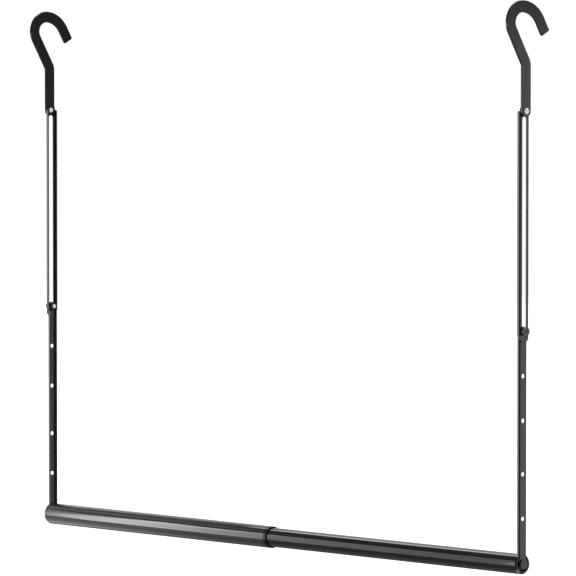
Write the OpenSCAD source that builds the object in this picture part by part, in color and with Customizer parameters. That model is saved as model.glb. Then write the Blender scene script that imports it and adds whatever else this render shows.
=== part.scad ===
// Hanging adjustable closet rod: two hooks go over a fixed rod and carry a
// telescoping rail on two uprights of adjustable length.
// X runs along the rail, Y to the back, Z up. The origin lies on the axis of the
// fixed rod that the hooks seat on, half-way between the two hooks.

/* [Rail] */
// Length of the rail, between the outer faces of the two lower bars
rail_span = 950; // [800:10:1100]
// Outside diameter of the large tube
big_d = 29; // [28.6:0.1:30]
// Outside diameter of the small tube
small_d = 25.4; // [24:0.1:26]
// Wall of both tubes
tube_wall = 1; // [0.8:0.1:1.1]
// Where the mouth of the large tube lies along X
mouth_x = -5.5; // [-40:0.5:20]
// Length of the small tube that stays inside the large one
overlap = 55.5; // [50:0.5:80]
// Thickness of the plugs' outer rims
rim_t = 2.4; // [2:0.1:3.5]

/* [Uprights] */
// Drop from the hook's rivet to the height screw, fully let down
upper_drop = 275; // [240:1:300]
// Drop from the height screw to the axis of the rail
lower_drop = 292; // [280:1:320]
// Width of the upper channel
channel_w = 16; // [15.8:0.1:18]
// Depth of the upper channel
channel_d = 4.8; // [4.2:0.1:5.4]
// Depth of the lower bar
bar_d = 4.2; // [3.8:0.1:4.4]
// Sheet thickness of channel and bar
sheet = 1.2; // [1:0.1:1.3]
// Width of the slot in the upper channel
slot_w = 7.4; // [6.8:0.1:8]
// Edge of the slot below the rivet
slot_top = 6.9; // [6:0.1:9]
// Diameter of the holes in the lower bar
hole_d = 5.6; // [5.4:0.1:6]
// Spacing of the holes within each pair
hole_pitch = 56; // [50:1:58]
// Spacing across the middle of the row
mid_pitch = 67; // [60:1:70]

/* [Hook] */
// Width of the hook's bar
hook_w = 15; // [14:0.5:16]
// Thickness of the hook's plate
hook_t = 3.2; // [3:0.1:4]
// Inner radius of the seat, for the fixed rod
seat_r = 12.7; // [12:0.1:14]
// Inner radius of the front half of the curve
front_r = 27.2; // [24:0.1:30]
// Lean of the two legs away from the vertical
lean = 30; // [25:1:32]
// Height of the seat's axis above the rivet
hook_rise = 110; // [100:1:120]
// Seat's axis in front of the rivet
hook_shift = 6.1; // [4:0.1:8]
// Straight length of the front leg
tip_len = 18.6; // [12:0.1:22]
// Rounding of the plate's edges
edge_r = 0.4; // [0.2:0.1:0.6]

/* [Fasteners] */
// Thread diameter of the screws
screw_d = 5; // [4.8:0.1:5.2]
// Diameter of the height screw's head
head_d = 11.2; // [10:0.1:12]
// Height of the height screw's head
head_h = 5; // [4:0.1:5.5]
// Length of the height screw under its head
screw_len = 9; // [8:0.5:11]
// Diameter of the rail screw's head
rail_head_d = 12.4; // [10:0.1:12.6]
// Height of the rail screw's head
rail_head_h = 2.8; // [2.6:0.1:3.6]
// Diameter of the rivet's shank
rivet_d = 5; // [4.6:0.1:5.2]
// Diameter of the rivet's head
rivet_head_d = 7.6; // [7:0.1:8]

/* [Fits] */
// Gap between sheets that slide or turn on each other
gap = 0.3; // [0.25:0.01:0.35]
// Radial clearance of the running fits
run = 0.05; // [0.03:0.01:0.08]

/* [Hidden] */
$fn = 96;
e = 0.01;
x0 = rail_span / 2;                 // outer face of the lower bar
rivet_y = hook_shift;
rivet_z = -hook_rise;
screw_z = rivet_z - upper_drop;
axis_z = screw_z - lower_drop;
bar_w = channel_w - 2 * sheet - 2 * gap;
x_web = x0 + gap;                   // inner face of the channel's web
x_out = x_web + sheet;              // outer face of the channel's web
x_hook = x_out + gap;               // inner face of the hook
x_head = x_out + 0.2;               // underside of the height screw's head
x_riv = x_hook + hook_t + 0.2;      // underside of the rivet's head
nut_t = 4;
nut_af = 10;
big_r = big_d / 2;
small_r = small_d / 2;
big_in = big_r - tube_wall;
small_in = small_r - tube_wall;
notch_w = bar_w + 0.3;
notch_d = bar_d + 0.3;
holes = [hole_pitch, 2 * hole_pitch, 2 * hole_pitch + mid_pitch, 3 * hole_pitch + mid_pitch];
insert_r = 4.2;
insert_l = 14.8;
r1 = seat_r + hook_w / 2;
r2 = front_r + hook_w / 2;
c2 = hook_rise + r1 - r2;
bend_r = 10;
leg_run = (hook_shift + r1 * cos(lean)) / sin(lean);
vertex = hook_rise - r1 * sin(lean) - leg_run * cos(lean);
bend_t = bend_r * tan(lean / 2);
tip_r = 2;

// ---- helpers ----

// A round bar along X, from x = a to x = b
module rod_x(r, a, b) {
    translate([a, 0, 0]) rotate([0, 90, 0]) cylinder(r = r, h = b - a);
}

// Turns a profile drawn as (radius, height) about the X axis, height along +X
module turned_x() {
    rotate([0, 90, 0]) rotate_extrude() children();
}

// Rounded rectangle, w along x and t along y
module rrect(w, t, r) {
    square([w - 2 * r, t], center = true);
    square([w, t - 2 * r], center = true);
    for (i = [-1, 1], j = [-1, 1])
        translate([i * (w / 2 - r), j * (t / 2 - r)]) circle(r = r, $fn = 24);
}

// Disc with rounded rim, flat on z, thickness t about z = 0
module puck(r, t, er) {
    rotate_extrude() {
        translate([0, -t / 2]) square([r - er, t]);
        translate([0, -t / 2 + er]) square([r, t - 2 * er]);
        for (j = [-1, 1]) translate([r - er, j * (t / 2 - er)]) circle(r = er, $fn = 24);
    }
}

// Section of a folded channel: web's outer face on x = 0, flanges towards -x
module u_section(w, d, t, ro) {
    ri = ro - t;
    difference() {
        union() {
            translate([-d, -w / 2]) square([d - ro, w]);
            translate([-ro, -w / 2 + ro]) square([ro, w - 2 * ro]);
            for (j = [-1, 1]) translate([-ro, j * (w / 2 - ro)]) circle(r = ro, $fn = 48);
        }
        union() {
            translate([-d - 1, -w / 2 + t]) square([d + 1 - t - ri, w - 2 * t]);
            translate([-t - ri, -w / 2 + t + ri]) square([ri, w - 2 * t - 2 * ri]);
            for (j = [-1, 1]) translate([-t - ri, j * (w / 2 - t - ri)]) circle(r = ri, $fn = 48);
        }
    }
}

// Cutter that rounds the flanges' free corner at (x = -d, z = zc); up = 1 or -1
module flange_corner(w, d, r, zc, up) {
    difference() {
        translate([-d - 1, -w / 2 - 1, up > 0 ? zc - r : zc - 1])
            cube([r + 1, w + 2, r + 1]);
        translate([-d + r, w / 2 + 2, zc - up * r]) rotate([90, 0, 0]) cylinder(r = r, h = w + 4);
    }
}

// Half profile of a screw's shank: plain from 0 to a, then a thread drawn as rings
// to height b, crest r, root r - depth, with a chamfered end
function shank_points(r, depth, pitch, a, b) =
    let (n = floor((b - a) / pitch), p = (b - a) / n)
    concat([[0, -0.2], [r, -0.2], [r, a]],
           [for (i = [0 : n - 1], k = [0, 1])
               k == 0 ? [r - depth, a + (i + 0.5) * p]
                      : [i == n - 1 ? r - depth : r, a + (i + 1) * p]],
           [[0, b]]);

// ---- pieces, drawn on the right side; the left side is mirrored ----

// Flat plate hook: u towards +Y, v towards +Z, the rivet's hole at (0, 0)
module hook_plate() {
    a = [-hook_shift - r1 * cos(lean), hook_rise - r1 * sin(lean)];
    b = [-hook_shift + r2 * cos(lean), c2 + r2 * sin(lean)];
    tw = hook_w - 0.08;
    tt = hook_t - 0.08;
    difference() {
        union() {
            puck(hook_w / 2, hook_t, edge_r);
            run_bar([0, 0], 90, vertex - bend_t);
            run_arc([-bend_r, vertex - bend_t], bend_r, 0, lean);
            run_bar([-bend_r + bend_r * cos(lean), vertex - bend_t + bend_r * sin(lean)],
                    90 + lean, leg_run - bend_t, 0.02, 0.1);
            run_arc([-hook_shift, hook_rise], r1, 90, 180 + lean);
            run_arc([-hook_shift, c2], r2, lean, 90.2, 0.02);
            translate([b[0], b[1], 0]) rotate([0, 0, lean - 90]) {
                translate([-0.1, 0, 0]) rotate([90, 0, 90])
                    linear_extrude(tip_len - tip_r + 0.1) rrect(tw, tt, edge_r);
                for (j = [-1, 1])
                    translate([tip_len - tip_r, j * (tw / 2 - tip_r), 0])
                        puck(tip_r, tt, edge_r);
                translate([tip_len - tip_r, -tw / 2 + tip_r, 0]) rotate([0, 0, 90])
                    rotate([90, 0, 90]) linear_extrude(tw - 2 * tip_r)
                        rrect(2 * tip_r, tt, edge_r);
            }
        }
        cylinder(r = rivet_d / 2 + run, h = hook_t + 2, center = true);
    }
}

// s makes the section a touch smaller, so that it ends inside its neighbour, x past its end
module run_bar(p, dir, len, s = 0, x = 0) {
    translate([p[0], p[1], 0]) rotate([0, 0, dir]) translate([-x, 0, 0]) rotate([90, 0, 90])
        linear_extrude(len + 2 * x) rrect(hook_w - 2 * s, hook_t - 2 * s, edge_r);
}

module run_arc(c, r, a0, a1, s = 0) {
    translate([c[0], c[1], 0]) rotate([0, 0, a0]) rotate_extrude(angle = a1 - a0)
        translate([r, 0]) rrect(hook_w - 2 * s, hook_t - 2 * s, edge_r);
}

module hook_right() {
    translate([x_hook + hook_t / 2, rivet_y, rivet_z]) rotate([90, 0, 90]) hook_plate();
}

// Rivet: fast in the channel's web, domed head outside, upset end inside
module rivet_right() {
    translate([0, rivet_y, rivet_z]) {
        rod_x(rivet_d / 2, x_web - 0.4, x_riv + 0.4);
        translate([x_riv, 0, 0]) turned_x() dome(rivet_head_d / 2, 0.5, 1.7);
        translate([x_web, 0, 0]) mirror([1, 0, 0]) turned_x() dome(rivet_head_d / 2 - 0.45, 0.4, 1.3);
    }
}

// Half profile of a domed head: straight side s, then a cap up to height h
module dome(r, s, h) {
    c = h - s;
    rd = (r * r + c * c) / (2 * c);
    square([r, s]);
    intersection() {
        translate([0, h - rd]) circle(r = rd, $fn = 120);
        translate([0, s - e]) square([r, c + 2 * e]);
    }
}

// Slotted upper channel with rounded web ends
module channel_right() {
    len = upper_drop + 7;
    translate([x_out, rivet_y, rivet_z]) difference() {
        union() {
            translate([0, 0, -len]) linear_extrude(len) u_section(channel_w, channel_d, sheet, 1.6);
            rod_x(channel_w / 2 - 0.5, -sheet, 0);
            translate([0, 0, -len]) rod_x(channel_w / 2 - 0.5, -sheet, 0);
        }
        flange_corner(channel_w, channel_d, 2.4, 0, 1);
        flange_corner(channel_w, channel_d, 2.4, -len, -1);
        rod_x(rivet_d / 2, -sheet - 1, 1);
        slot_lo = -upper_drop + slot_w / 2 - screw_d / 2 - run;
        slot_hi = -slot_top - slot_w / 2;
        for (z = [slot_lo, slot_hi]) translate([0, 0, z]) rod_x(slot_w / 2, -sheet - 1, 1);
        translate([-sheet - 1, -slot_w / 2, slot_lo]) cube([sheet + 2, slot_w, slot_hi - slot_lo]);
    }
}

// Lower bar: narrower channel with a row of holes; its foot goes into the rail's end
module bar_right() {
    er = bar_w / 2 - 0.4;
    foot = 2;
    translate([x0, rivet_y, screw_z]) difference() {
        union() {
            translate([0, 0, -lower_drop + foot]) linear_extrude(lower_drop - foot)
                u_section(bar_w, bar_d, sheet, 1.6);
            rod_x(er, -sheet, 0);
            translate([0, 0, -lower_drop]) rod_x(er, -sheet, 0);
            translate([-sheet, -er, -lower_drop]) cube([sheet, 2 * er, foot + 1]);
        }
        flange_corner(bar_w, bar_d, 2, 0, 1);
        rod_x(hole_d / 2, -sheet - 1, 1);
        for (h = holes) translate([0, 0, -h]) rod_x(hole_d / 2, -sheet - 1, 1);
        translate([0, 0, -lower_drop]) rod_x(hole_d / 2, -sheet - 1, 1);
    }
}

// Shank of a screw along X, from the underside of its head on x = 0 towards -x
module shank(len, plain) {
    mirror([1, 0, 0]) turned_x()
        polygon(shank_points(screw_d / 2, 0.4, 0.8, plain, len));
}

// Two crossing slots of length l and width w, cut into a head from x = a outwards
module cross_slots(a, l, w) {
    for (k = [45, 135]) rotate([k, 0, 0]) translate([a, -l / 2, -w / 2]) cube([3, l, w]);
}

// Height screw: tall head with a rounded shoulder and a cross recess
module height_screw_right() {
    translate([x_head, rivet_y, screw_z]) {
        difference() {
            turned_x() {
                square([head_d / 2, head_h - 1.5]);
                square([head_d / 2 - 1.5, head_h]);
                translate([head_d / 2 - 1.5, head_h - 1.5]) circle(r = 1.5, $fn = 64);
            }
            cross_slots(head_h - 0.4, 2.6, 0.4);
        }
        shank(screw_len, x_head - x0 + sheet + nut_t);
    }
}

// Rail screw: flat head with a rounded edge and a cross recess
module rail_screw_right() {
    r = rail_head_d / 2;
    h = rail_head_h;
    translate([x0, rivet_y, axis_z]) {
        difference() {
            turned_x() {
                square([r, h - 0.5]);
                square([r - 0.5, h]);
                translate([r - 0.5, h - 0.5]) circle(r = 0.5, $fn = 32);
            }
            cross_slots(h - 0.4, 2.8, 0.4);
        }
        shank(17, 14);
    }
}

// Hexagon nut held between the bar's flanges
module nut_right() {
    translate([x0 - sheet - nut_t, rivet_y, screw_z]) difference() {
        intersection() {
            rotate([0, 90, 0]) cylinder(r = nut_af / 2 / cos(30), h = nut_t, $fn = 6);
            turned_x() polygon([[0, 0], [4.9, 0], [5.9, 0.58], [5.9, nut_t - 0.58], [4.9, nut_t], [0, nut_t]]);
        }
        rod_x(screw_d / 2 + run, -1, nut_t + 1);
    }
}

// End plug: chamfered rim outside the tube, recess for the bar's foot and the screw head
module end_plug(ro, ri) {
    rr = ri - 2.4;
    floor_x = -notch_d - 0.1;
    difference() {
        union() {
            turned_x() polygon([[0, -rim_t], [ro, -rim_t], [ro, -1.5], [ro - 0.25, -1.15],
                                [ro - 2.2, 0], [0, 0]]);
            rod_x(ri, -22, -rim_t + e);
        }
        rod_x(rr, floor_x, 1);
        difference() {
            rod_x(ri - 2, -23, floor_x - 5);
            rod_x(insert_r + 2.4, -24, floor_x - 4);
        }
        translate([floor_x, -notch_w / 2, 0]) cube([-floor_x + 1, notch_w, ro + 1]);
        rod_x(insert_r, -24, 1);
    }
    difference() {
        rod_x(insert_r + 0.8, floor_x - 1, -sheet);
        rod_x(insert_r, floor_x - 2, 1);
    }
}

module plug_right(ro, ri) {
    translate([x0, rivet_y, axis_z]) end_plug(ro, ri);
}

// Threaded insert held in the plug
module insert_right() {
    translate([x0 - sheet - insert_l, rivet_y, axis_z]) difference() {
        union() {
            rod_x(insert_r, 0, insert_l);
        }
        for (a = [2.4, 6.4, 10.4]) turned_x() translate([insert_r - 0.4, a]) square([1, 1.6]);
        rod_x(screw_d / 2 + run, -1, insert_l + 1);
    }
}

// Notch in a tube's end for the bar's foot
module end_notch(r) {
    translate([x0 - notch_d, rivet_y - notch_w / 2, axis_z]) cube([notch_d + 2, notch_w, r + 1]);
}

module at_axis() {
    translate([0, rivet_y, axis_z]) children();
}

// ---- nodes ----

module left_hook() { color([0.10, 0.10, 0.10]) mirror([1, 0, 0]) hook_right(); }
module right_hook() { color([0.16, 0.16, 0.16]) hook_right(); }
module left_hook_rivet() { color([0.82, 0.82, 0.80]) mirror([1, 0, 0]) rivet_right(); }
module right_hook_rivet() { color([0.82, 0.82, 0.80]) rivet_right(); }
module left_upper_channel() { color([0.17, 0.17, 0.17]) mirror([1, 0, 0]) channel_right(); }
module right_upper_channel() { color([0.20, 0.20, 0.20]) channel_right(); }
module left_lower_bar() { color([0.22, 0.22, 0.22]) mirror([1, 0, 0]) bar_right(); }
module right_lower_bar() { color([0.25, 0.25, 0.25]) bar_right(); }
module left_height_screw() { color([0.13, 0.13, 0.13]) mirror([1, 0, 0]) height_screw_right(); }
module right_height_screw() { color([0.13, 0.13, 0.13]) height_screw_right(); }
module left_height_nut() { color([0.08, 0.08, 0.08]) mirror([1, 0, 0]) nut_right(); }
module right_height_nut() { color([0.08, 0.08, 0.08]) nut_right(); }
module left_end_plug() { color([0.05, 0.05, 0.05]) mirror([1, 0, 0]) plug_right(big_r, big_in); }
module right_end_plug() { color([0.05, 0.05, 0.05]) plug_right(small_r, small_in); }
module left_end_insert() { color([0.70, 0.68, 0.60]) mirror([1, 0, 0]) insert_right(); }
module right_end_insert() { color([0.70, 0.68, 0.60]) insert_right(); }
module left_rail_screw() { color([0.13, 0.13, 0.13]) mirror([1, 0, 0]) rail_screw_right(); }
module right_rail_screw() { color([0.13, 0.13, 0.13]) rail_screw_right(); }

// Large tube, from the left plug's rim to its mouth
module outer_tube() {
    color([0.30, 0.30, 0.31]) difference() {
        at_axis() difference() {
            rod_x(big_r, -x0 + rim_t, mouth_x);
            rod_x(big_in, -x0, mouth_x + 1);
        }
        mirror([1, 0, 0]) end_notch(big_r);
    }
}

// Small tube, from its inner end to the right plug's rim
module inner_tube() {
    color([0.24, 0.24, 0.25]) difference() {
        at_axis() difference() {
            rod_x(small_r, mouth_x - overlap, x0 - rim_t);
            rod_x(small_in, mouth_x - overlap - 1, x0);
        }
        end_notch(small_r);
    }
}

// Collar: sleeve inside the large tube, a ring at its mouth, recessed around the small tube
module tube_collar() {
    ci = small_r + run;
    co = big_r - 0.1;
    lip = 5.1;
    lr = 0.4;
    rec = max(co - 0.6, ci + 0.3);
    color([0.07, 0.07, 0.07]) at_axis() translate([mouth_x, 0, 0]) turned_x() {
        polygon([[ci, -18], [big_in, -18], [big_in, 0], [co - 0.2, 0], [co, 0.2], [co, lip - lr],
                 [co - lr, lip], [rec, lip], [rec - 0.2, lip - 1.6], [ci, lip - 1.6]]);
        translate([co - lr, lip - lr]) circle(r = lr, $fn = 32);
    }
}

// Glide pressed on the small tube's inner end; it runs in the large tube
module inner_tube_glide() {
    color([0.12, 0.12, 0.12]) at_axis() translate([mouth_x - overlap, 0, 0]) difference() {
        union() {
            turned_x() polygon([[0, -10], [big_in - run - 0.8, -10], [big_in - run, -9.2],
                                [big_in - run, -0.8], [big_in - run - 0.6, 0], [0, 0]]);
            rod_x(small_in, -e, 12);
        }
        rod_x(small_in - 2, -11, 13);
    }
}

left_hook();
left_hook_rivet();
left_upper_channel();
left_lower_bar();
left_height_screw();
left_height_nut();
left_end_plug();
left_end_insert();
left_rail_screw();
outer_tube();
tube_collar();
inner_tube_glide();
inner_tube();
right_end_plug();
right_end_insert();
right_rail_screw();
right_lower_bar();
right_height_screw();
right_height_nut();
right_upper_channel();
right_hook_rivet();
right_hook();
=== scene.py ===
"""Looks for the hanging adjustable closet rod: materials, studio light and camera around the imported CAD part."""

import math

import bpy
from mathutils import Euler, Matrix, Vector


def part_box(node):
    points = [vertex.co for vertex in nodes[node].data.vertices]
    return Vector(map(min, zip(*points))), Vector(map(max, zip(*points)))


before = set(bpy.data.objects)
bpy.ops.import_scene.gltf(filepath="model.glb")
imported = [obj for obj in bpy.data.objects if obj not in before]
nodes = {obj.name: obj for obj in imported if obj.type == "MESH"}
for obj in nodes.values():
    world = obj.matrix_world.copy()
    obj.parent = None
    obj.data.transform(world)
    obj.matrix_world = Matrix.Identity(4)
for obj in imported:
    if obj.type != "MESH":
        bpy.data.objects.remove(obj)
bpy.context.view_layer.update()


# ---------------------------------------------------------------- node helpers


class Tree:
    """A small helper that adds and links shader nodes."""

    def __init__(self, tree):
        self.t = tree
        self.n = tree.nodes
        self.n.clear()

    def add(self, kind, **props):
        node = self.n.new(kind)
        for k, v in props.items():
            setattr(node, k, v)
        return node

    def link(self, a, b):
        self.t.links.new(a, b)

    def put(self, socket, value):
        """Links a socket to value if value is a socket, or sets it."""
        if isinstance(value, bpy.types.NodeSocket):
            self.link(value, socket)
        else:
            socket.default_value = value

    def math(self, op, a, b=0.0, c=None, clamp=False):
        m = self.add("ShaderNodeMath", operation=op, use_clamp=clamp)
        self.put(m.inputs[0], a)
        self.put(m.inputs[1], b)
        if c is not None:
            self.put(m.inputs[2], c)
        return m.outputs[0]

    def ramp(self, value, lo, hi, out_lo=0.0, out_hi=1.0, smooth=True):
        m = self.add("ShaderNodeMapRange")
        m.interpolation_type = "SMOOTHSTEP" if smooth else "LINEAR"
        m.clamp = True
        self.put(m.inputs["Value"], value)
        self.put(m.inputs["From Min"], lo)
        self.put(m.inputs["From Max"], hi)
        self.put(m.inputs["To Min"], out_lo)
        self.put(m.inputs["To Max"], out_hi)
        return m.outputs["Result"]

    def curve(self, value, stops):
        """Piecewise straight curve through (position, value) stops with rising positions."""
        out = None
        for (x0, y0), (x1, y1) in zip(stops, stops[1:]):
            if out is None:
                out = self.ramp(value, x0, x1, y0, y1, smooth=False)
            else:
                step = self.ramp(value, x0, x1, 0.0, y1 - y0, smooth=False)
                out = self.math("ADD", out, step)
        return out

    def mix(self, factor, a, b):
        m = self.add("ShaderNodeMix", data_type="RGBA")
        self.put(m.inputs[0], factor)
        for s, v in ((m.inputs[6], a), (m.inputs[7], b)):
            self.put(s, (*v, 1.0) if isinstance(v, tuple) and len(v) == 3 else v)
        return m.outputs[2]

    def coords(self, scale=(1, 1, 1)):
        c = self.add("ShaderNodeTexCoord").outputs["Object"]
        m = self.add("ShaderNodeMapping")
        self.link(c, m.inputs["Vector"])
        m.inputs["Scale"].default_value = scale
        return m.outputs["Vector"]

    def noise(self, vector, scale, detail=2.0, rough=0.5, distortion=0.0):
        n = self.add("ShaderNodeTexNoise")
        self.link(vector, n.inputs["Vector"])
        n.inputs["Scale"].default_value = scale
        n.inputs["Detail"].default_value = detail
        n.inputs["Roughness"].default_value = rough
        n.inputs["Distortion"].default_value = distortion
        return n.outputs["Fac"]

    def voronoi(self, vector, scale, randomness=1.0):
        n = self.add("ShaderNodeTexVoronoi")
        self.link(vector, n.inputs["Vector"])
        n.inputs["Scale"].default_value = scale
        n.inputs["Randomness"].default_value = randomness
        return n.outputs["Distance"]

    def bump(self, height, strength, distance, normal=None):
        b = self.add("ShaderNodeBump")
        b.inputs["Strength"].default_value = strength
        b.inputs["Distance"].default_value = distance
        self.link(height, b.inputs["Height"])
        if normal is not None:
            self.link(normal, b.inputs["Normal"])
        return b.outputs["Normal"]

    def soft_edges(self, radius):
        """(normal with the sharp edges rounded to radius, 0..1 mask that is 1 on those edges)."""
        b = self.add("ShaderNodeBevel", samples=4)
        b.inputs["Radius"].default_value = radius
        g = self.add("ShaderNodeNewGeometry")
        d = self.add("ShaderNodeVectorMath", operation="DOT_PRODUCT")
        self.link(b.outputs["Normal"], d.inputs[0])
        self.link(g.outputs["Normal"], d.inputs[1])
        mask = self.ramp(d.outputs["Value"], 0.995, 0.86)
        return b.outputs["Normal"], mask


def material(name):
    m = bpy.data.materials.new(name)
    m.use_nodes = True
    t = Tree(m.node_tree)
    out = t.add("ShaderNodeOutputMaterial")
    p = t.add("ShaderNodeBsdfPrincipled")
    t.link(p.outputs["BSDF"], out.inputs["Surface"])
    return m, t, p


# ---------------------------------------------------------------- materials


def paint(
    name,
    dark,
    light,
    rough=(0.26, 0.4),
    coat=1.0,
    coat_rough=0.04,
    coat_ior=1.5,
    ior=1.5,
    grain=(1, 1, 1),
    peel=0.05,
    edge=(0.05, 0.05, 0.05),
    edge_r=0.0003,
    edge_amount=0.35,
    spec=0.2,
    bevel=True,
    thin_below=False,
):
    """Stoved gloss paint on steel: slight orange peel, faint drawing lines, dust in the film, thin along the edges.
    With thin_below the plate's cut edges that look down carry less of the coat."""
    m, t, p = material(name)
    plain = t.coords()
    lined = t.coords(grain)
    normal, rim = t.soft_edges(edge_r)
    broad = t.noise(plain, 14.0, 3.0, 0.55)
    lines = t.noise(lined, 900.0, 3.0, 0.6)
    specks = t.ramp(t.voronoi(plain, 420.0), 0.09, 0.03)
    rare = t.ramp(t.noise(plain, 95.0, 1.0), 0.6, 0.72)
    specks = t.math("MULTIPLY", specks, rare)
    tone = t.math(
        "ADD", t.math("MULTIPLY", broad, 0.6), t.math("MULTIPLY", lines, 0.4)
    )
    colour = t.mix(t.ramp(tone, 0.36, 0.66), dark, light)
    colour = t.mix(
        t.math("MULTIPLY", specks, 0.35), colour, tuple(min(1, 4 * x) for x in light)
    )
    worn = t.math(
        "MULTIPLY",
        rim,
        t.ramp(t.noise(plain, 260.0, 3.0, 0.6), 0.35, 0.75, 0.25, 1.0),
    )
    worn = t.math("MULTIPLY", worn, edge_amount)
    colour = t.mix(worn, colour, edge)
    t.put(p.inputs["Base Color"], colour)
    r = t.ramp(
        t.math("ADD", t.math("MULTIPLY", broad, 0.5), t.math("MULTIPLY", lines, 0.5)),
        0.3,
        0.7,
        rough[0],
        rough[1],
    )
    r = t.math("ADD", r, t.math("MULTIPLY", worn, 0.12), clamp=True)
    t.put(p.inputs["Roughness"], r)
    peel_h = t.math(
        "ADD",
        t.noise(plain, 620.0, 2.0, 0.5),
        t.math("MULTIPLY", lines, 0.35),
    )
    peel_h = t.math("ADD", peel_h, t.math("MULTIPLY", specks, 0.5))
    n = t.bump(peel_h, peel, 0.0004, normal if bevel else None)
    t.link(n, p.inputs["Normal"])
    t.link(n, p.inputs["Coat Normal"])
    p.inputs["IOR"].default_value = ior
    p.inputs["Specular IOR Level"].default_value = spec
    if thin_below:
        face = t.add("ShaderNodeSeparateXYZ")
        t.link(t.add("ShaderNodeNewGeometry").outputs["Normal"], face.inputs[0])
        cut = t.ramp(t.math("ABSOLUTE", face.outputs["X"]), 0.5, 0.7, 1.0, 0.0)
        below = t.math("MULTIPLY", cut, t.ramp(face.outputs["Z"], -0.12, -0.34))
        t.put(p.inputs["Coat Weight"], t.ramp(below, 0.0, 1.0, coat, 0.2 * coat))
    else:
        p.inputs["Coat Weight"].default_value = coat
    p.inputs["Coat Roughness"].default_value = coat_rough
    p.inputs["Coat IOR"].default_value = coat_ior
    return m


def plastic(name, dark, light, rough=(0.4, 0.55), grain=2600.0, depth=0.12, coat=0.0, coat_rough=0.05,
            polished=None):
    """Moulded black plastic: fine grain, faint flow marks, lighter along the sharp edges. The polished skin is a
    coat;
    with polished=(y, z, r), metres, only outside radius r from the axis along X through (y, z)."""
    m, t, p = material(name)
    plain = t.coords()
    normal, rim = t.soft_edges(0.0002)
    flow = t.noise(plain, 60.0, 4.0, 0.6, 0.6)
    fine = t.noise(plain, grain, 2.0, 0.6)
    colour = t.mix(t.ramp(flow, 0.3, 0.7), dark, light)
    # Lighter along the sharp edges (rim mask).
    colour = t.mix(t.math("MULTIPLY", rim, 0.4), colour, tuple(2.2 * x for x in light))
    t.put(p.inputs["Base Color"], colour)
    t.put(
        p.inputs["Roughness"],
        t.ramp(
            t.math("ADD", t.math("MULTIPLY", flow, 0.5), t.math("MULTIPLY", fine, 0.5)),
            0.3,
            0.7,
            rough[0],
            rough[1],
        ),
    )
    n = t.bump(fine, depth, 0.0002, normal)
    t.link(n, p.inputs["Normal"])
    t.link(n, p.inputs["Coat Normal"])
    p.inputs["IOR"].default_value = 1.46
    p.inputs["Specular IOR Level"].default_value = 0.1 if coat else 0.5
    p.inputs["Coat Roughness"].default_value = coat_rough
    if polished is None:
        p.inputs["Coat Weight"].default_value = coat
    else:
        sep = t.add("ShaderNodeSeparateXYZ")
        t.link(plain, sep.inputs[0])
        dy = t.math("SUBTRACT", sep.outputs["Y"], polished[0])
        dz = t.math("SUBTRACT", sep.outputs["Z"], polished[1])
        radius = t.math("SQRT", t.math("ADD", t.math("MULTIPLY", dy, dy), t.math("MULTIPLY", dz, dz)))
        t.put(p.inputs["Coat Weight"], t.ramp(radius, polished[2] - 0.0001, polished[2] + 0.0001, 0.0, coat))
    return m


def bare_metal(name, dark, light, rough, turn=(1, 1, 1), scale=1600.0, metallic=1.0):
    """Plated steel: fine turning marks, slight tarnish."""
    m, t, p = material(name)
    plain = t.coords()
    normal, rim = t.soft_edges(0.00018)
    marks = t.noise(t.coords(turn), scale, 3.0, 0.6)
    tarnish = t.noise(plain, 300.0, 4.0, 0.6)
    colour = t.mix(t.ramp(tarnish, 0.3, 0.75), light, dark)
    colour = t.mix(
        t.math("MULTIPLY", rim, 0.3), colour, tuple(min(1, 1.1 * x) for x in light)
    )
    t.put(p.inputs["Base Color"], colour)
    t.put(p.inputs["Roughness"], t.ramp(marks, 0.3, 0.7, rough[0], rough[1]))
    t.link(t.bump(marks, 0.12, 0.0002, normal), p.inputs["Normal"])
    p.inputs["Metallic"].default_value = metallic
    return m


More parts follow.
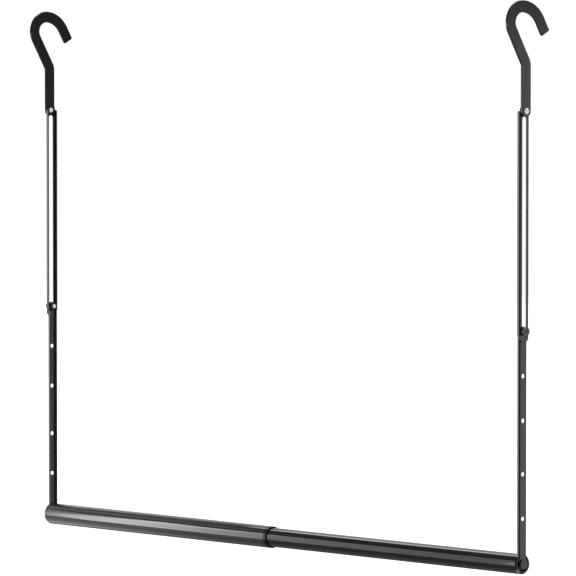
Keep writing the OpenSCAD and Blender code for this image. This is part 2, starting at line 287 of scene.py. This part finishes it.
def height_screw(name, name_of_node, side):
    """Blackened head, bright zinc thread: the finish changes under the head, along X. The head is lighter along its
    sharp edges.
    Painted light: the recess in its top is painted lighter to cancel its shade, and the rounded edge round its top
    carries a painted highlight."""
    m, t, p = material(name)
    plain = t.coords()
    x = t.add("ShaderNodeSeparateXYZ")
    t.link(plain, x.inputs[0])
    away = t.math("MULTIPLY", x.outputs["X"], side)
    head = t.ramp(away, 0.4690, 0.4694)
    normal, rim = t.soft_edges(0.00025)
    tarnish = t.noise(plain, 320.0, 4.0, 0.6)
    fine = t.noise(plain, 1500.0, 3.0, 0.6)
    black = t.mix(t.ramp(tarnish, 0.3, 0.7), (0.010, 0.010, 0.011), (0.022, 0.022, 0.023))
    # Lighter along the head's sharp edges.
    black = t.mix(t.math("MULTIPLY", rim, 0.5), black, (0.09, 0.09, 0.09))
    lo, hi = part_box(name_of_node)
    top = max(abs(lo[0]), abs(hi[0]))
    axis_y, axis_z = (lo[1] + hi[1]) / 2, (lo[2] + hi[2]) / 2
    dy = t.math("SUBTRACT", x.outputs["Y"], axis_y)
    dz = t.math("SUBTRACT", x.outputs["Z"], axis_z)
    radius = t.math("SQRT", t.math("ADD", t.math("MULTIPLY", dy, dy), t.math("MULTIPLY", dz, dz)))
    # Painted light: inside the recess in the top of the head the colour is painted lighter, cancelling the shade
    # that falls there.
    recess_painted_light = t.math("MULTIPLY", t.ramp(away, top - 0.0003, top - 0.0001, 1.0, 0.0), t.ramp(radius, 0.0022, 0.0025, 1.0, 0.0))
    black = t.mix(recess_painted_light, black, (0.10, 0.10, 0.10))
    # Painted highlight: a lighter ring on the rounded edge round the top of the head.
    shoulder_painted_highlight = t.math("MULTIPLY", t.ramp(radius, 0.0034, 0.0043), t.ramp(away, top - 0.0024, top - 0.0014))
    black = t.mix(t.math("MULTIPLY", shoulder_painted_highlight, 0.8), black, (0.085, 0.085, 0.085))
    zinc = t.mix(t.ramp(tarnish, 0.3, 0.7), (0.96, 0.96, 0.95), (0.82, 0.82, 0.81))
    t.put(p.inputs["Base Color"], t.mix(head, zinc, black))
    t.put(p.inputs["Metallic"], t.math("MULTIPLY", t.math("SUBTRACT", 1.0, head), 0.3))
    t.put(p.inputs["Roughness"], t.ramp(fine, 0.3, 0.7, 0.24, 0.4))
    t.link(t.bump(fine, 0.12, 0.0002, normal), p.inputs["Normal"])
    p.inputs["Specular IOR Level"].default_value = 0.1
    t.put(p.inputs["Coat Weight"], t.math("MULTIPLY", head, 0.9))
    p.inputs["Coat Roughness"].default_value = 0.08
    return m


along_z = (1, 1, 0.03)
along_x = (0.03, 1, 1)
MATERIALS = {
    "hook": paint(
        "hook_gloss_paint", (0.004, 0.004, 0.004), (0.009, 0.009, 0.009),
        rough=(0.3, 0.45), coat_rough=0.06, coat=0.9, peel=0.016, bevel=False,
        edge_amount=0.12, spec=0.06, coat_ior=1.65, thin_below=True,
    ),
    "channel": paint(
        "channel_gloss_paint", (0.002, 0.002, 0.002), (0.006, 0.006, 0.006),
        grain=along_z, coat_rough=0.04, peel=0.012, edge_amount=0.25, spec=0.04, coat_ior=1.65,
    ),
    "bar": paint(
        "bar_gloss_paint", (0.002, 0.002, 0.002), (0.006, 0.006, 0.006),
        grain=along_z, coat_rough=0.04, peel=0.012, edge_amount=0.25, spec=0.04, coat_ior=1.65,
    ),
    "outer": paint(
        "outer_tube_paint", (0.010, 0.010, 0.011), (0.018, 0.018, 0.019),
        grain=along_x, coat_rough=0.02, peel=0.014, rough=(0.3, 0.42), bevel=False, spec=0.06,
        coat_ior=1.65,
    ),
    "inner": paint(
        "inner_tube_paint", (0.004, 0.004, 0.004), (0.009, 0.009, 0.009),
        grain=along_x, coat_rough=0.02, peel=0.014, rough=(0.3, 0.42), bevel=False, spec=0.06,
    ),
    "nut": paint(
        "nut_black_oxide", (0.008, 0.008, 0.009), (0.02, 0.02, 0.021),
        rough=(0.3, 0.45), coat=0.2, coat_rough=0.2,
    ),
    "rail_screw": paint(
        "rail_screw_black", (0.010, 0.010, 0.011), (0.022, 0.022, 0.023),
        rough=(0.28, 0.42), coat=0.9, coat_rough=0.1, edge=(0.12, 0.12, 0.12),
    ),
    "plug": plastic(
        "end_plug_plastic", (0.004, 0.004, 0.004), (0.009, 0.009, 0.009), (0.3, 0.4), depth=0.03,
        coat=0.9, coat_rough=0.03,
    ),
    "collar": plastic(
        "collar_plastic", (0.004, 0.004, 0.004), (0.009, 0.009, 0.009), (0.35, 0.5), depth=0.03,
        coat=0.4, coat_rough=0.06, polished=(0.0061, -0.677, 0.0141),
    ),
    "glide": plastic("glide_plastic", (0.012, 0.012, 0.012), (0.022, 0.022, 0.022)),
    "rivet": bare_metal("rivet_bright_steel", (0.78, 0.78, 0.77), (0.92, 0.92, 0.91), (0.3, 0.45), metallic=0.35),
    "insert": bare_metal("insert_zinc_steel", (0.55, 0.52, 0.45), (0.74, 0.71, 0.62), (0.3, 0.45)),
}

FINISH = {
    "outer_tube": "outer",
    "inner_tube": "inner",
    "tube_collar": "collar",
    "inner_tube_glide": "glide",
}
for side in ("left", "right"):
    FINISH[side + "_hook"] = "hook"
    FINISH[side + "_upper_channel"] = "channel"
    FINISH[side + "_lower_bar"] = "bar"
    FINISH[side + "_hook_rivet"] = "rivet"
    FINISH[side + "_height_nut"] = "nut"
    FINISH[side + "_end_plug"] = "plug"
    FINISH[side + "_end_insert"] = "insert"
    FINISH[side + "_rail_screw"] = "rail_screw"

MATERIALS["left_height_screw"] = height_screw("left_height_screw_finish_and_painted_light", "left_height_screw", -1.0)
MATERIALS["right_height_screw"] = height_screw("right_height_screw_finish_and_painted_light", "right_height_screw", 1.0)
for side in ("left", "right"):
    FINISH[side + "_height_screw"] = side + "_height_screw"

for name, obj in nodes.items():
    finish = MATERIALS[FINISH[name]]
    for s in obj.material_slots:
        s.link = "OBJECT"
        s.material = finish


# ---------------------------------------------------------------- studio


def emitter(name, corner, u, v, strength_nodes):
    """A one-sided light panel: corner plus u and v, shining along u x v. The camera doesn't see it."""
    mesh = bpy.data.meshes.new(name)
    c, u, v = Vector(corner), Vector(u), Vector(v)
    mesh.from_pydata([c, c + u, c + u + v, c + v], [], [(0, 1, 2, 3)])
    mesh.update()
    o = bpy.data.objects.new(name, mesh)
    bpy.context.scene.collection.objects.link(o)
    m = bpy.data.materials.new(name + "_light")
    m.use_nodes = True
    t = Tree(m.node_tree)
    out = t.add("ShaderNodeOutputMaterial")
    em = t.add("ShaderNodeEmission")
    geo = t.add("ShaderNodeNewGeometry")
    sep = t.add("ShaderNodeSeparateXYZ")
    t.link(t.add("ShaderNodeTexCoord").outputs["Object"], sep.inputs[0])
    strength = strength_nodes(t, sep.outputs["X"], sep.outputs["Y"], sep.outputs["Z"])
    front = t.math("SUBTRACT", 1.0, geo.outputs["Backfacing"])
    t.put(em.inputs["Strength"], t.math("MULTIPLY", strength, front))
    t.link(em.outputs[0], out.inputs["Surface"])
    mesh.materials.append(m)
    o.visible_camera = False
    o.visible_shadow = False
    o.visible_diffuse = False
    return o


def total(t, *parts):
    out = parts[0]
    for part in parts[1:]:
        out = t.math("ADD", out, part)
    return out


# Front left softbox: draws the long light band on the tubes; its light grows towards its left end.
# Its top is cut lower in the middle, where only the tubes mirror it.
emitter(
    "softbox_front_left", (-1.75, -0.65, -0.97), (0, 0, 0.86), (1.75, 0, 0),
    lambda t, x, y, z: t.math(
        "MULTIPLY",
        t.math(
            "SUBTRACT",
            1.0,
            t.math(
                "MULTIPLY",
                t.math("MULTIPLY", t.ramp(x, -1.17, -1.12), t.ramp(x, -0.40, -0.35, 1.0, 0.0)),
                t.ramp(z, -0.23, -0.17),
            ),
        ),
        t.curve(
            x,
            [
                (-1.43, 1.2), (-1.33, 1.9), (-1.28, 2.6), (-1.22, 5.0), (-1.12, 5.8),
                (-1.06, 5.2), (-0.96, 4.0), (-0.90, 3.2), (-0.80, 2.25), (-0.70, 1.85),
                (-0.63, 1.6), (-0.58, 1.5), (-0.50, 1.38), (-0.41, 1.28), (-0.35, 1.22),
                (-0.209, 1.15), (-0.203, 3.0),
            ],
        ),
    ),
)
# Step on top of the softbox's left end: fills the dark line above the band at the large tube's left end.
emitter(
    "softbox_step_left", (-1.90, -0.65, -0.11), (0, 0, 0.26), (0.5, 0, 0),
    lambda t, x, y, z: t.ramp(
        t.math("ADD", x, t.math("MULTIPLY", t.math("ADD", z, 0.14), 0.95)), -1.50, -1.37, 1.15, 0.0
    ),
)
# Small strip above the softbox's right end: the front edge of the right hook's straight leg.
emitter(
    "strip_hook_edge", (-0.32, -0.65, -0.11), (0, 0, 0.13), (0.2, 0, 0),
    lambda t, x, y, z: 1.6,
)
# Overhead strip: the thin upper light line on the small tube.
emitter(
    "strip_overhead", (-1.75, 0.18, 0.8), (0, 0.48, 0), (0.80, 0, 0),
    lambda t, x, y, z: 3.8,
)
# Weak panel above left: lifts the upper third of the large tube.
emitter(
    "panel_above_left", (-2.3, -0.95, 0.6), (0, 1.1, 0), (0.78, 0, 0),
    lambda t, x, y, z: t.ramp(x, -1.9, -1.52, 0.62, 0.1, smooth=False),
)
# Panel high behind left: the soft light line along the upper edge of the large tube.
emitter(
    "panel_high_behind_left", (-2.6, 0.42, 0.6), (0, 0.68, 0), (0.88, 0, 0),
    lambda t, x, y, z: t.ramp(x, -2.15, -1.8, 1.05, 0.4),
)
# Light from the floor, stronger under the left: the lower thirds of the tubes.
emitter(
    "bounce_below", (-1.6, -0.75, -1.13), (2.0, 0, 0), (0, 1.0, 0),
    lambda t, x, y, z: t.math(
        "ADD",
        t.curve(x, [(-1.05, 0.75), (-0.88, 0.4), (-0.75, 0.3), (-0.62, 0.15)]),
        t.math("MULTIPLY", t.ramp(y, -0.3, 0.0), t.ramp(x, -1.0, -0.55, 0.45, 0.1)),
    ),
)
# Small patch below the right end: the light crescent on the end plug's rim.
emitter(
    "kicker_below_right", (0.55, -0.25, -1.13), (0.50, 0, 0), (0, 0.45, 0),
    lambda t, x, y, z: 4.0,
)
# Right back panel: the outer faces of the right upright and the inner ones of the left.
emitter(
    "panel_right_back", (0.9, 1.5, -1.1), (2.1, 0, 0), (0, 0, 1.5),
    lambda t, x, y, z: total(
        t,
        t.math("MULTIPLY", t.ramp(x, 1.35, 2.05, 1.0, 0.0), t.ramp(z, -0.5, 0.03, 0.56, 0.11)),
        t.math(
            "MULTIPLY",
            t.ramp(x, 1.35, 2.05),
            t.curve(z, [(-0.55, 1.03), (-0.12, 0.95), (-0.05, 0.92), (0.0, 0.75), (0.03, 0.6), (0.08, 0.37)]),
        ),
    ),
)
sun = bpy.data.lights.new("overhead_soft", "SUN")
sun.energy = 2.5
sun.angle = math.radians(40)
sun_obj = bpy.data.objects.new("overhead_soft", sun)
bpy.context.scene.collection.objects.link(sun_obj)
sun_obj.rotation_euler = Euler((math.radians(6), math.radians(-5), 0))

floor_mesh = bpy.data.meshes.new("floor")
R, Z = 18.0, -1.15
ring = [
    (R * math.cos(i * math.pi / 48), R * math.sin(i * math.pi / 48), Z)
    for i in range(96)
]
floor_mesh.from_pydata(ring, [], [tuple(range(96))])
floor_mesh.update()
floor = bpy.data.objects.new("floor", floor_mesh)
bpy.context.scene.collection.objects.link(floor)
fm, ft, fp = material("floor_pale")
fv = ft.coords()
ft.put(
    fp.inputs["Base Color"],
    ft.mix(ft.noise(fv, 3.0, 4.0), (0.9, 0.9, 0.9), (0.915, 0.915, 0.915)),
)
ft.put(fp.inputs["Roughness"], ft.ramp(ft.noise(fv, 40.0, 3.0), 0.3, 0.7, 0.75, 0.9))
fp.inputs["Specular IOR Level"].default_value = 0.1
fp.inputs["Emission Color"].default_value = (1, 1, 1, 1)
fp.inputs["Emission Strength"].default_value = 0.35
floor.visible_glossy = False
floor_mesh.materials.append(fm)

world = bpy.data.worlds.new("studio")
bpy.context.scene.world = world
world.use_nodes = True
w = Tree(world.node_tree)
wo = w.add("ShaderNodeOutputWorld")
bg_seen = w.add("ShaderNodeBackground")
bg_seen.inputs["Color"].default_value = (1, 1, 1, 1)
bg_seen.inputs["Strength"].default_value = 1.05
bg_light = w.add("ShaderNodeBackground")
bg_light.inputs["Color"].default_value = (1, 1, 1, 1)
wsep = w.add("ShaderNodeSeparateXYZ")
w.link(w.add("ShaderNodeTexCoord").outputs["Generated"], wsep.inputs[0])
wx, wy, wz = wsep.outputs["X"], wsep.outputs["Y"], wsep.outputs["Z"]
back = w.math("MULTIPLY", w.ramp(wy, 0.05, 0.5), w.ramp(wz, 0.0, 0.25))
glow = w.math("ADD", 0.1, w.math("MULTIPLY", back, 0.6))
glow = w.math("ADD", glow, w.ramp(wx, -0.1, 0.5, 0.0, 0.2))
lobe = w.add("ShaderNodeVectorMath", operation="DOT_PRODUCT")
w.link(w.add("ShaderNodeTexCoord").outputs["Generated"], lobe.inputs[0])
lobe.inputs[1].default_value = (0.749, -0.656, 0.0)
glow = w.math("MULTIPLY", glow, w.ramp(lobe.outputs["Value"], 0.82, 0.95, 1.0, 0.3))
w.put(bg_light.inputs["Strength"], glow)
wmix = w.add("ShaderNodeMixShader")
w.link(w.add("ShaderNodeLightPath").outputs["Is Camera Ray"], wmix.inputs[0])
w.link(bg_light.outputs[0], wmix.inputs[1])
w.link(bg_seen.outputs[0], wmix.inputs[2])
w.link(wmix.outputs[0], wo.inputs["Surface"])

scene = bpy.context.scene
scene.view_settings.view_transform = "Standard"
scene.view_settings.look = "None"
scene.view_settings.exposure = 0.0
scene.view_settings.gamma = 1.0

# ---------------------------------------------------------------- camera

cam_data = bpy.data.cameras.new("camera")
cam_data.sensor_fit = "HORIZONTAL"
cam_data.sensor_width = 36.0
cam_data.lens = 286.25
cam_data.clip_start, cam_data.clip_end = 0.1, 100.0
cam = bpy.data.objects.new("camera", cam_data)
scene.collection.objects.link(cam)
cam.location = (4.5778, -3.9797, -0.0999)
cam.rotation_euler = Euler(
    (math.radians(90 - 2.315), 0.0, math.radians(48.774)), "XYZ"
)
scene.camera = cam
